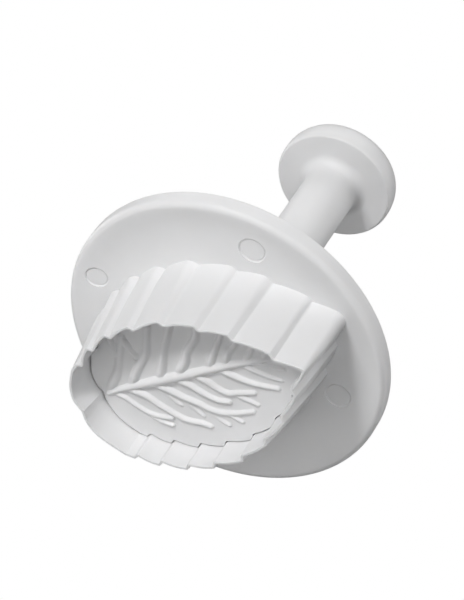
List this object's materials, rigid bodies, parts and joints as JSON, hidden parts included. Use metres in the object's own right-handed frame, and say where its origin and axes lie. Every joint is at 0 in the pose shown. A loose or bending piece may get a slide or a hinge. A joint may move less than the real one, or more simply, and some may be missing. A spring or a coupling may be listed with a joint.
{
  "type": "plunger cutter",
  "caption": "Rose-leaf plunger cutter for sugarpaste and pastry, with a serrated cup, a saucer flange, a veined embosser plate and a sprung push knob.",
  "frame": {"origin": "centre of the round flange on the plane of the cutting edge", "axes": "+Z along the plunger from the cutting edge to the knob, +X towards the tip of the leaf"},
  "size_m": [0.0646, 0.0646, 0.0753],
  "materials": {
    "white_plastic": "satin moulded",
    "spring_steel": "drawn wire"
  },
  "bodies": {
    "cutter": {"cutter_body": "white_plastic", "return_spring": "spring_steel"},
    "plunger": {"embosser_plate": "white_plastic", "plunger_stem": "white_plastic", "plunger_knob": "white_plastic", "knob_cap": "white_plastic"}
  },
  "joints": [
    {"name": "plunger_slide", "type": "slide", "parent": "cutter", "child": "plunger", "axis": [0, 0, -1], "range_m": [0, 0.0075], "stiffness_N_per_m": 600, "springref_m": -0.005, "deforming": ["return_spring"]}
  ]
}
